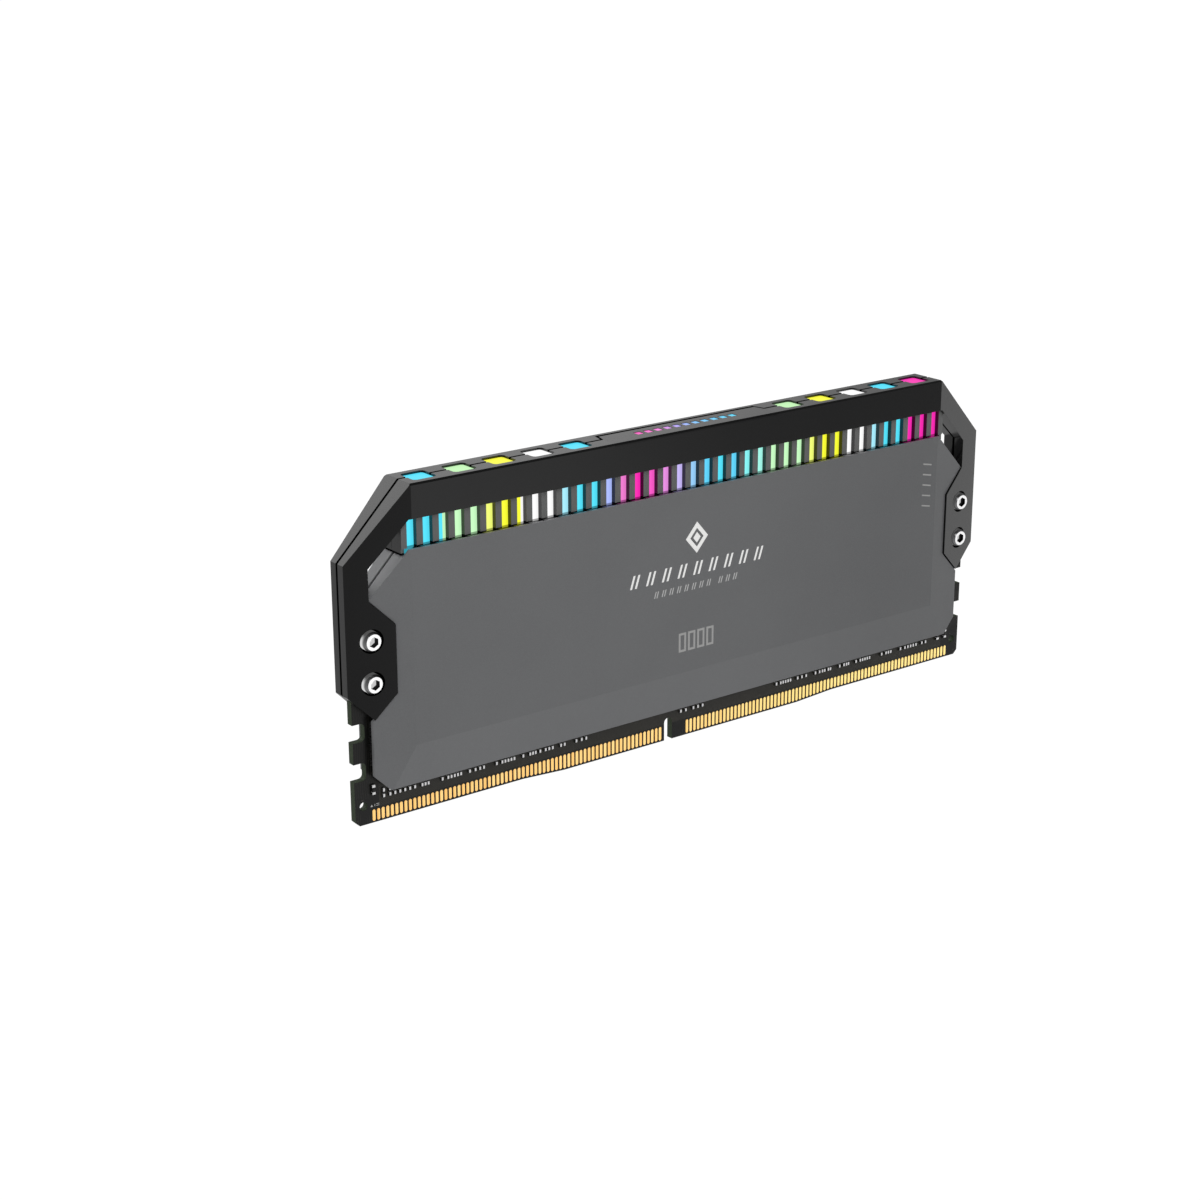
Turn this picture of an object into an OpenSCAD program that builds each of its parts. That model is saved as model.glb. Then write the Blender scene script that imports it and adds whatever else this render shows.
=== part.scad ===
// Memory module with a two-piece heat spreader and an illuminated top frame.
// 288-contact card edge, 0.85 mm contact pitch, 1.27 mm board.
// Frame: X along the module (longest), -Y the component side, +Z up out of the
// socket. Origin under the middle of the module, on the lowest edge of the card.
// All parts are drawn from a datum edge_up under the outer contact edge and are
// then lifted so that the middle of the card edge, which hangs lower by
// edge_drop, stands at z = 0. "Front" is -Y and "back" is +Y.

/* [Circuit board] */
// Board length
pcb_length = 133.35; // [133.15:0.05:133.5]
// Board height above the outer contact edge
pcb_height = 31.25; // [31.1:0.05:31.35]
// Board thickness
pcb_thick = 1.27; // [1.17:0.05:1.32]
// Extra depth of the middle of the card edge
edge_drop = 0.5; // [0.3:0.1:0.6]
// Outer contact edge above the drawing datum
edge_up = 0.45; // [0.4:0.05:0.5]
// Contact width
contact_w = 0.55; // [0.5:0.05:0.65]
// Height of the contact tops above the drawing datum
contact_top = 2.7; // [2.6:0.05:3]
// Depth of the four side notches
notch_depth = 2.2; // [2:0.1:2.3]
// Tooling hole diameter
tooling_d = 1.4; // [1.2:0.1:1.6]

/* [Heat spreader] */
// Outer face of each spreader from the middle plane
spreader_y = 3.2; // [3.1:0.05:3.3]
// Spreader height above the drawing datum
spreader_top = 45; // [44.8:0.1:45.1]
// Spreader lower edge
spreader_low = 6.05; // [5.9:0.05:6.3]

/* [Frame] */
// Overall length
frame_length = 135.8; // [135.4:0.1:136.4]
// Overall thickness of the top bar
frame_thick = 7.2; // [7.1:0.1:7.6]
// Thickness of the legs at their outer ends
leg_end_thick = 3.6; // [3.4:0.1:3.8]
// Top of the frame above the drawing datum
frame_top = 55.5; // [55.3:0.1:56]
// Seam between the two halves
seam = 0.12; // [0.08:0.02:0.2]

/* [Light bar] */
// Light slots on each side
slot_n = 39; // [37:2:39]
// Pitch of the light slots
slot_pitch = 2.95; // [2.9:0.01:2.95]
// Slot width between two fins
slot_w = 1.75; // [1.5:0.05:1.8]
// Side of the square top windows
window_w = 4.3; // [4:0.1:4.5]
// Pitch of the top windows
window_pitch = 7.5; // [7.4:0.05:7.5]
// Distance of the innermost windows from the middle
window_x0 = 22.8; // [22.6:0.1:22.8]

/* [Screws] */
// Screw head diameter
head_d = 3.24; // [3.1:0.02:3.3]
// Counterbore diameter
cbore_d = 3.85; // [3.7:0.05:4.4]

/* [Hidden] */
$fn = 48;

// overrun of cuts, and reaches beyond each end and the top of the module
over = 1;
past_end = 70;
past_top = 60;
// factors for insetting 45 degree edges
root2 = sqrt(2);
miter = tan(22.5);

half_pcb = pcb_thick / 2;
half_seam = seam / 2;
pcb_end = pcb_length / 2;
pcb_top = pcb_height + edge_up;
chip_y = 1.75;
pad_y = 2.1;

// frame outline: top bar, with a leg at each end narrowing from neck to waist
frame_end = frame_length / 2;
bar_y = frame_thick / 2;
leg_y = leg_end_thick / 2;
crease_x = 56.5;
shoulder_z = frame_top - (frame_end - crease_x);
bar_low = 49.9;
bar_chamfer = 6.9;
neck_x = 63.9;
neck_z = 37.8;
waist_x = 59.6;
waist_high = 33.5;
waist_low = 22.25;
tip_x = 63.5;
tip_z = 18.35;
outer_low = tip_z + (frame_end - tip_x);
roof_z = 53.2; // ceiling of the hollow in the top bar

// screws
screw_x = 63.65;
screw_z = [24.45, 31.4];
cbore_y = 1.35; // depth of the counterbore floors from the middle plane

// light parts: half thicknesses (_y), half lengths (_x) and heights
fin_y = 2.75;
core_y = 1.2;
core_x = 57.3;
core_low = 44.15;
core_top = 53;
rib_y = 1.95;
tray_low = core_low - 0.1;
led_board_x = 55.5;
led_board_y = 0.4;
led_board_low = 40.6;
slot_x0 = -(slot_n - 1) / 2 * slot_pitch;
window_x = [for (side = [-1, 1]) for (i = [0:4]) side * (window_x0 + i * window_pitch)];
window_r = 0.7;

// ------------------------------------------------------------ helpers
function span(half, mid = 0) = [mid - half, mid + half];

// block between [low, high] pairs on each axis
module box(x, y, z) translate([x[0], y[0], z[0]])
  cube([x[1] - x[0], y[1] - y[0], z[1] - z[0]]);

// cylinder along Y
module rod(x, z, d, y) translate([x, y[0], z]) rotate([-90, 0, 0]) cylinder(d = d, h = y[1] - y[0]);

// XZ outline carried along Y
module slab(y) translate([0, y[1], 0]) rotate([90, 0, 0]) linear_extrude(y[1] - y[0]) children();

// YZ outline carried along the whole of X
module along_x() rotate([90, 0, 90]) linear_extrude(2 * past_end, center = true) children();

// outline symmetric about x = 0, from its points on the +X side
module twin_polygon(points)
  polygon(concat(points, [for (i = [len(points) - 1:-1:0]) [-points[i][0], points[i][1]]]));

module rounded_square(w, r) {
  square([w, w - 2 * r], center = true);
  square([w - 2 * r, w], center = true);
  for (a = [-1, 1]) for (b = [-1, 1]) translate([a * (w / 2 - r), b * (w / 2 - r)]) circle(r);
}

// from the drawing datum to the final height
module lift() translate([0, 0, edge_drop - edge_up]) children();
// from the +Y side to the -Y side
module front() mirror([0, 1, 0]) children();
module both_ends() for (m = [0, 1]) mirror([m, 0, 0]) children();
module at_screws() both_ends() for (z = screw_z) translate([screw_x, 0, z]) children();

// ------------------------------------------------------------ circuit board
ramp_in = 25.9; // the card edge slopes between these distances from the middle
ramp_out = 34.4;
card_chamfer = 0.8;
key_x = -3.7;
key_w = 1.65;
key_top = 4;
contact_pitch = 0.85;
contact_thick = 0.04;
left_n = 69;
right_n = 75;
left_x0 = -63.275;
right_x0 = 0.5;

// lower edge of the card at a given x
function edge(x) =
  edge_up - edge_drop * min(1, max(0, (ramp_out - abs(x)) / (ramp_out - ramp_in)));

module card_outline() twin_polygon([[ramp_in, edge_up - edge_drop], [ramp_out, edge_up],
  [pcb_end - card_chamfer, edge_up], [pcb_end, edge_up + card_chamfer], [pcb_end, pcb_top]]);

// notch in the -X end with rounded inner corners
module side_notch(z0, z1) {
  r = 0.75;
  translate([-pcb_end - over, z0]) square([over + notch_depth - r, z1 - z0]);
  translate([-pcb_end - over, z0 + r]) square([over + notch_depth, z1 - z0 - 2 * r]);
  for (z = [z0 + r, z1 - r]) translate([-pcb_end + notch_depth - r, z]) circle(r);
}

module card_cuts() {
  both_ends() {
    side_notch(8, 11);
    side_notch(14.6, 17.6);
    translate([-65.1, 3.65]) circle(d = tooling_d);
    for (z = screw_z) translate([-screw_x, z]) circle(d = 2.7);
  }
  // key slot with a round top
  translate([key_x - key_w / 2, -2]) square([key_w, 2 + key_top - key_w / 2]);
  translate([key_x, key_top - key_w / 2]) circle(d = key_w);
}

module pcb() color("#1c1d1b") lift() slab(span(half_pcb)) difference() {
  card_outline();
  card_cuts();
}

// one contact pad with clipped corners
module contact(x) {
  half = contact_w / 2;
  clip = 0.18;
  low = edge(x) + 0.3;
  translate([x, 0]) twin_polygon([[half - clip, low], [half, low + clip],
    [half, contact_top - clip], [half - clip, contact_top]]);
}
module contacts() lift() for (i = [0:left_n + right_n - 1])
  slab([half_pcb, half_pcb + contact_thick])
    contact(i < left_n ? left_x0 + i * contact_pitch : right_x0 + (i - left_n) * contact_pitch);
module contacts_front() color("#e2b866") front() contacts();
module contacts_back() color("#e2b866") contacts();

// ------------------------------------------------------------ board parts
chip_x0 = 14.5;
chip_pitch = 11.7;
chip_z = [11.6, 22.6];
inductor_z = [24.6, 28.8];
inductor_h = 1.2;
pad_margin = 0.2; // pads above and below the parts they cover

// block with a round dimple in its +Y face, near the upper -X corner
module package(x, y, z, dot_d, dot_inset, dot_depth) difference() {
  box(x, y, z);
  rod(x[0] + dot_inset, z[1] - dot_inset, dot_d, [y[1] - dot_depth, y[1] + over]);
}

module dram_chips() color("#242527") lift() front() for (side = [-1, 1]) for (i = [0:3])
  package(span(5, side * (chip_x0 + i * chip_pitch)), [half_pcb, chip_y], chip_z,
    dot_d = 0.6, dot_inset = 0.8, dot_depth = 0.08);

module pmic() color("#2a2a2c") lift() front()
  package(span(2.5), [half_pcb, half_pcb + 0.85], [17.5, 22.5],
    dot_d = 0.5, dot_inset = 0.6, dot_depth = 0.07);

module spd_hub() color("#2a2a2c") lift() front()
  package(span(1.5), [half_pcb, half_pcb + 0.55], [10.2, 12.2],
    dot_d = 0.3, dot_inset = 0.4, dot_depth = 0.05);

module inductors() color("#6a6a6e") lift() front() for (x = [-5.4, 0, 5.4]) difference() {
  box(span(2.1, x), [half_pcb, half_pcb + inductor_h], inductor_z);
  for (z = inductor_z) box(span(0.6, x), [half_pcb + 0.8, half_pcb + 3], span(0.25, z));
}

module bulk_capacitors() color("#b09468") lift() front() for (side = [-1, 1]) for (i = [0:3])
  box(span(1.6, side * 5.6), [half_pcb, half_pcb + 1.25], span(0.8, 13.8 + i * 2.4));

// rows of small two-terminal parts: [first x, number, pitch]
front_rows = [
  [-61.5, 1, 1], [-60.35, 6, 0.93], [-54.3, 3, 0.58], [-50.45, 1, 1], [-49.35, 5, 0.62],
  [-45.15, 2, 1.1], [-43.15, 2, 0.75], [-39.85, 1, 1], [-38.75, 5, 0.6], [-34.55, 1, 1],
  [-33.15, 3, 0.55], [-31.1, 1, 1], [-30, 3, 0.72], [-26.85, 2, 0.75], [-23.65, 1, 1],
  [-22.55, 2, 0.95], [-1.15, 2, 1.1], [1.65, 3, 1.03], [20.8, 1, 1], [21.8, 5, 0.58],
  [25.85, 3, 1.02], [30.15, 2, 1], [31.85, 2, 0.55], [33.3, 2, 0.5], [36.1, 2, 1.05],
  [37.75, 2, 0.5], [40.15, 1, 1], [41.2, 5, 0.58], [46.6, 1, 1], [47.7, 3, 0.6],
  [51.4, 2, 1.15], [53.3, 4, 0.7], [56.95, 2, 0.95]];
back_rows = [[-57, 5, 1.1], [-38, 6, 0.95], [-12, 4, 1], [12, 5, 1.1], [34, 6, 0.95],
  [52, 5, 1.1]];

// one part standing along Z: its two end terminals, or the body between them
module chip_part(x, z, size, terminals) {
  w = size[0];
  h = size[1];
  l = size[2];
  end = l * (w > 0.55 ? 0.26 : 0.37);
  if (terminals)
    for (low = [z, z + l - end]) box(span(w / 2, x), [half_pcb, half_pcb + h], [low, low + end]);
  else box(span(w / 2 - 0.02, x), [half_pcb, half_pcb + h - 0.03], [z + end, z + l - end]);
}

module part_rows(rows, z, size, terminals)
  for (row = rows) for (i = [0:row[1] - 1]) chip_part(row[0] + i * row[2], z, size, terminals);

// sizes are [width, height off the board, length]
module chip_parts(terminals) {
  front() part_rows(front_rows, 4.45, [0.36, 0.4, 1.5], terminals);
  part_rows(back_rows, 4.55, [0.5, 0.45, 1.3], terminals);
  front() for (i = [0:5]) chip_part(-63.55, 10.4 + i * 1.25, [0.34, 0.35, 0.8], terminals);
  front() for (x = [-63.4, 60.95, 62.9])
    chip_part(x, x > 0 ? 4.5 : 5.4, [0.6, 0.5, 1.6], terminals);
}
module chip_part_bodies() color("#8a7358") lift() chip_parts(false);
module chip_part_terminals() color("#c9ccd0") lift() chip_parts(true);

module thermal_pads_front() color("#8fa3ad") lift() front() for (side = [-1, 1])
  box(span(23, side * (chip_x0 + 1.5 * chip_pitch)), [chip_y, pad_y],
    [chip_z[0] - pad_margin, chip_z[1] + pad_margin]);
module thermal_pad_power() color("#9aa0a6") lift() front()
  box(span(7.9), [half_pcb + inductor_h, pad_y],
    [inductor_z[0] - pad_margin, inductor_z[1] + pad_margin]);
module thermal_pad_back() color("#8fa3ad") lift() box(span(55), [half_pcb, pad_y], [10.4, 23.8]);

// ------------------------------------------------------------ heat spreaders
spreader_x = 63.75;
top_chamfer = 7;
low_chamfer = 2.75;
leg_gap = 0.12; // between the spreader and the frame legs
upper_slope = neck_z - neck_x + root2 * leg_gap; // z - x on the slope under the neck
lower_slope = tip_x + tip_z - root2 * leg_gap; // z + x on the slope at the leg tip
side_x = waist_x - leg_gap;
room_top = pcb_top + 0.35;

// hollows on the inner face: [half length, depth from the middle plane, low z, high z]
spreader_rooms = [
  // the board, open at the sides and below
  [past_end, 1.5, 0, room_top],
  // its parts and pads
  [58.5, pad_y, spreader_low + 2.2, room_top],
  // connector and light board
  [9.5, 1.75, 30, 37.2],
  [7.2, 1.55, 37, 40.4],
  [led_board_x + 0.4, led_board_y + 0.12, led_board_low - 0.4, 50],
  // seat of the light guide and fins behind an outer lip
  [past_end, fin_y, tray_low, 50]];

// inset draws in the top and upper side edges only
module spreader_outline(inset = 0) twin_polygon([
  [spreader_x - top_chamfer - miter * inset, spreader_top - inset],
  [spreader_x - inset, spreader_top - top_chamfer - miter * inset],
  [spreader_x - inset, spreader_x + upper_slope],
  [side_x, side_x + upper_slope],
  [side_x, lower_slope - side_x],
  [spreader_x, lower_slope - spreader_x],
  [spreader_x, spreader_low + low_chamfer],
  [spreader_x - low_chamfer, spreader_low]]);

module spreader() difference() {
  intersection() {
    slab([half_seam, 4]) spreader_outline();
    // thinner towards the ends
    linear_extrude(past_top) twin_polygon([[spreader_x, 0], [spreader_x, spreader_y - 1],
      [crease_x, spreader_y]]);
    // thinner towards the lower edge
    along_x() polygon([[0, 0], [spreader_y - 0.58, 0], [spreader_y - 0.58, spreader_low],
      [spreader_y, spreader_low + 6.75], [spreader_y, past_top], [0, past_top]]);
  }
  for (room = spreader_rooms) box(span(room[0]), [-over, room[1]], [room[2], room[3]]);
  // relief along the seam
  slab([-over, 0.24]) difference() {
    translate([-past_end, pcb_top + 1]) square([2 * past_end, 30]);
    spreader_outline(0.22);
  }
}
module heat_spreader_front() color("#67686a") lift() front() spreader();
module heat_spreader_back() color("#67686a") lift() spreader();

// ------------------------------------------------------------ frame
fill_reach = 7.75; // how far the filled shape runs down the 45 degree leg tips
dowel_x = 61.6;
dowel_z = 48;
// light slots in the tab
tab_slot_pitch = 2;
tab_bar_half = 0.6;
tab_bar_y = [-0.95, 0.4];
tab_bar_gap = 0.05;

module frame_outline() twin_polygon([[crease_x, frame_top], [frame_end, shoulder_z],
  [frame_end, outer_low], [tip_x, tip_z], [waist_x, waist_low], [waist_x, waist_high],
  [neck_x, neck_z], [neck_x, bar_low - bar_chamfer], [neck_x - bar_chamfer, bar_low]]);

// filled outer shape, inset all round but for its lower edge
module frame_fill(inset) twin_polygon([[crease_x - miter * inset, frame_top - inset],
  [frame_end - inset, shoulder_z - miter * inset],
  [frame_end - inset, outer_low + miter * inset],
  [frame_end - fill_reach - root2 * inset, outer_low - fill_reach]]);

// plan shape of the tab that reaches over to the back half
module tab_plan(gap) twin_polygon([[17.55 + gap, -1], [17.4 + gap, 0], [16.85 + gap, 2.1 + gap]]);

// one half of the frame on the +Y side, without its screw holes
module frame_half() difference() {
  intersection() {
    slab([half_seam, 5]) frame_outline();
    // thinner from the creases to the ends
    linear_extrude(past_top) twin_polygon([[past_end, half_seam], [past_end, leg_y - 0.28],
      [frame_end, leg_y], [crease_x, bar_y]]);
    // chamfered top edge
    along_x() polygon([[half_seam, 0], [bar_y + 0.5, 0], [bar_y + 0.5, frame_top - 0.8],
      [bar_y - 0.3, frame_top], [half_seam, frame_top]]);
  }
  // room for the light parts and the board
  box(span(58.2), [-4, 2.65], [40, roof_z]);
  box(span(pcb_end + 0.12), [-over, half_pcb + 0.08], [0, pcb_top + 0.15]);
  for (x = window_x) translate([x, 0, roof_z - over])
    linear_extrude(5) rounded_square(window_w, window_r);
  both_ends() rod(-dowel_x, dowel_z, 1.24, [-2, 1.6]);
  // relief along the seam
  slab([-over, 0.26]) difference() {
    translate([-past_end, 10]) square([2 * past_end, 50]);
    frame_fill(0.24);
  }
}

module frame_front() color("#333433") lift() difference() {
  union() {
    front() frame_half();
    translate([0, 0, roof_z]) linear_extrude(frame_top - roof_z) tab_plan(0);
  }
  for (i = [-5:5]) box(span(tab_bar_half + tab_bar_gap, i * tab_slot_pitch),
    [tab_bar_y[0] - tab_bar_gap, tab_bar_y[1] + tab_bar_gap], [roof_z - over, past_top]);
  // counterbore, shank hole and room for the nut barrel
  at_screws() {
    rod(0, 0, cbore_d, [-6, -cbore_y]);
    rod(0, 0, 1.75, [-3, 1]);
    rod(0, 0, 2.5, [-1, 1]);
  }
}

module frame_back() color("#333433") lift() difference() {
  frame_half();
  translate([0, 0, roof_z - 0.1]) linear_extrude(5) tab_plan(seam);
  // counterbore and barrel hole
  at_screws() {
    rod(0, 0, cbore_d, [cbore_y, 6]);
    rod(0, 0, 2.5, [-1, 3]);
  }
}

module frame_dowels() color("#b8babd") lift()
  for (x = span(dowel_x)) rod(x, dowel_z, 1.2, span(1.5));

// ------------------------------------------------------------ light bar
comb_x = 58;
comb_top = 52.9;
rail_y = 2.55;
fin_z = [45.15, bar_low - 0.04];
lens_gap = 0.08;

module fin_comb() {
  fin_depth = [core_y + 0.1, fin_y];
  // rail hidden inside the top bar
  box(span(comb_x), [rib_y + 0.1, rail_y], [bar_low - 0.1, comb_top]);
  // fins between the slots
  for (i = [0:slot_n - 2])
    box([slot_x0 + i * slot_pitch + slot_w / 2, slot_x0 + (i + 1) * slot_pitch - slot_w / 2],
      fin_depth, fin_z);
  // end fins, and end blocks that close on the seam
  both_ends() {
    box([-slot_x0 + slot_w / 2, comb_x], fin_depth, fin_z);
    box([core_x + 0.08, comb_x], [half_seam, rail_y], [core_low, comb_top]);
  }
}
module fin_comb_front() color("#5f5f5d") lift() front() fin_comb();
module fin_comb_back() color("#5f5f5d") lift() fin_comb();

module light_guide() color("#dfe9ea") lift() difference() {
  union() {
    box(span(core_x), span(core_y), [core_low, core_top]);
    // wider head
    box(span(core_x), span(1.8), [51.6, core_top]);
    // a rib in every slot
    for (i = [0:slot_n - 1]) translate([slot_x0 + i * slot_pitch, 0, 0])
      box(span(slot_w / 2 - 0.05), span(rib_y), [core_low, 50.4]);
  }
  // hollow for the light board
  box(span(56), span(0.85), [40, 46.6]);
}

// dark strip outside the guide's foot, closing the gap under the fins
module guide_tray() slab([rib_y + 0.03, 2.7]) difference() {
  twin_polygon([[56.2, tray_low], [55.35, spreader_top - 0.05]]);
  for (x = [-40, 0, 40]) translate([x, core_low]) circle(d = 0.6);
}
module guide_tray_front() color("#17181a") lift() front() guide_tray();
module guide_tray_back() color("#17181a") lift() guide_tray();

module window_lenses() color("#cfeef2") lift() for (x = window_x)
  translate([x, 0, core_top]) linear_extrude(frame_top - 0.3 - core_top)
    rounded_square(window_w - 2 * lens_gap, window_r - lens_gap);

module tab_light_bars() color("#d9c9ee") lift() for (i = [-5:5])
  box(span(tab_bar_half, i * tab_slot_pitch), tab_bar_y, [core_top, frame_top - 0.06]);

// ------------------------------------------------------------ light board
socket_low = 33.7;

module led_board() color("#1b2b22") lift() difference() {
  union() {
    box(span(led_board_x), span(led_board_y), [led_board_low, 46.2]);
    // tongue down into the socket
    box(span(6), span(led_board_y), [34.25, led_board_low + 0.1]);
  }
  for (x = [-48, 48]) rod(x, 42.6, 1.2, span(1));
}

// alternately on the back and the front of the light board
module leds() color("#f4f1e2") lift() for (i = [0:11]) {
  x = (i - 5.5) * 9.2;
  z = 45.4;
  mirror([0, i % 2, 0]) difference() {
    box(span(0.6, x), [led_board_y, 0.78], span(0.5, z));
    rod(x, z, 0.7, [0.7, 1]);
  }
}

module led_driver() color("#262628") lift() front()
  package(span(1.5), [led_board_y, 1.15], [37.2, 40.2],
    dot_d = 0.4, dot_inset = 0.5, dot_depth = 0.05);

// upright grooves at 1 mm pitch
module grooves(y, z) for (i = [-5:5]) box(span(0.25, i), y, z);

module edge_header() color("#d8d2c0") lift() difference() {
  box(span(6.4), span(1.5), [pcb_top, socket_low]);
  grooves([-1.6, -1.3], [pcb_top - over, 33]);
}
module led_socket() color("#e6e1d2") lift() difference() {
  box(span(6.6), span(1.45), [socket_low, 36.8]);
  box(span(6.1), span(0.42), [34.2, 40]);
  grooves([1.25, 1.6], [34.4, 37]);
}

// ------------------------------------------------------------ fasteners
// round head on the +Y side of the origin, narrowing to its rim in two steps,
// with a hexagon socket
module cap_head() {
  wall_h = 1.3;
  cone_h = 0.36;
  cone_d = head_d - 0.44;
  difference() {
    rotate([-90, 0, 0]) {
      cylinder(d = head_d, h = wall_h);
      translate([0, 0, wall_h]) cylinder(d1 = head_d, d2 = cone_d, h = cone_h);
      translate([0, 0, wall_h + cone_h]) cylinder(d1 = cone_d, d2 = head_d - 0.62, h = 0.12);
    }
    translate([0, 0.7, 0]) rotate([-90, 30, 0]) cylinder(d = 1.78, h = 3, $fn = 6);
  }
}
module screw() {
  translate([0, -cbore_y, 0]) front() cap_head();
  rod(0, 0, 1.6, [-cbore_y, 0.9]);
}
module barrel_nut() difference() {
  union() {
    rod(0, 0, 2.4, [-0.95, cbore_y]);
    translate([0, cbore_y, 0]) cap_head();
  }
  rod(0, 0, 1.64, [-1, 1.2]);
}
module screws() color("#d6d8da") lift() at_screws() screw();
module barrel_nuts() color("#d6d8da") lift() at_screws() barrel_nut();

pcb();
contacts_front();
contacts_back();
dram_chips();
pmic();
spd_hub();
inductors();
bulk_capacitors();
chip_part_bodies();
chip_part_terminals();
thermal_pads_front();
thermal_pad_power();
thermal_pad_back();
heat_spreader_front();
heat_spreader_back();
frame_front();
frame_back();
fin_comb_front();
fin_comb_back();
light_guide();
guide_tray_front();
guide_tray_back();
window_lenses();
tab_light_bars();
led_board();
leds();
led_driver();
edge_header();
led_socket();
frame_dowels();
screws();
barrel_nuts();
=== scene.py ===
# Looks for a memory module with heat spreaders, fins and lit parts.
# It stands on its contact edge: length along X, thickness along Y with the front at -Y, height
# along Z. The left end is -X. Procedural materials, printed marks, floor, light and camera.
import bpy
import bmesh
import math
from mathutils import Vector, Matrix


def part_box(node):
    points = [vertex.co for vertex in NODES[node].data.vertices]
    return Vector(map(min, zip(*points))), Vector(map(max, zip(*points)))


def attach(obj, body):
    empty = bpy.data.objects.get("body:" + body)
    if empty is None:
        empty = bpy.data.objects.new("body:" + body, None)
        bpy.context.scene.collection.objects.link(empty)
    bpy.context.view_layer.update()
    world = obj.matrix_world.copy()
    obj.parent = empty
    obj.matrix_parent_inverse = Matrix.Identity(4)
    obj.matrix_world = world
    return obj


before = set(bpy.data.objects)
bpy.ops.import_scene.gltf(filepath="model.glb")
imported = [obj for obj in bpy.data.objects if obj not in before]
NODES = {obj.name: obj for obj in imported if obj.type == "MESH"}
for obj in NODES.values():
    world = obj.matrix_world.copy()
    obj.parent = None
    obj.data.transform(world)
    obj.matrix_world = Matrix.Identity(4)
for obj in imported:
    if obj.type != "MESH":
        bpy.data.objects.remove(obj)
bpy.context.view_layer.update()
MM = 0.001


# ---------------------------------------------------------------- colours
def srgb(red, green, blue):
    def linear(channel):
        channel /= 255.0
        return channel / 12.92 if channel <= 0.04045 else ((channel + 0.055) / 1.055) ** 2.4
    return (linear(red), linear(green), linear(blue), 1.0)


def grey(value):
    return (value, value, value, 1)


def scaled(color, factor):
    return tuple(min(1, channel * factor) for channel in color[:3]) + (1,)


# ---------------------------------------------------------------- shader graph helpers
def operator(kind, swapped=False):
    def apply(self, other):
        values = (other, self) if swapped else (self, other)
        return self.graph.math(kind, *values)
    return apply


class Signal:
    """An output socket; arithmetic and comparisons on it add Math nodes to its graph."""

    def __init__(self, graph, socket):
        self.graph = graph
        self.socket = socket

    __add__ = operator("ADD")
    __radd__ = operator("ADD", swapped=True)
    __sub__ = operator("SUBTRACT")
    __rsub__ = operator("SUBTRACT", swapped=True)
    __mul__ = operator("MULTIPLY")
    __lt__ = operator("LESS_THAN")
    __gt__ = operator("GREATER_THAN")

    def __abs__(self):
        return self.graph.math("ABSOLUTE", self)

    def spread(self, base, gain):
        """base where the signal is 0, base + gain where it is 1."""
        return base + self * gain


class Graph:
    """A shader node tree, cleared and given one output node."""

    def __init__(self, tree, output_kind):
        self.tree = tree
        tree.nodes.clear()
        self.output = self.add(output_kind)

    def feed(self, socket, value):
        if isinstance(value, Signal):
            value = value.socket
        if isinstance(value, bpy.types.NodeSocket):
            self.tree.links.new(value, socket)
        else:
            socket.default_value = value

    def add(self, kind, inputs=None, **settings):
        """A new node; inputs are keyed by socket name or index."""
        node = self.tree.nodes.new("ShaderNode" + kind)
        for name, value in settings.items():
            setattr(node, name, value)
        for key, value in (inputs or {}).items():
            self.feed(node.inputs[key], value)
        return node

    def math(self, kind, *values, clamp=False):
        node = self.add("Math", dict(enumerate(values)), operation=kind, use_clamp=clamp)
        return Signal(self, node.outputs[0])


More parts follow.
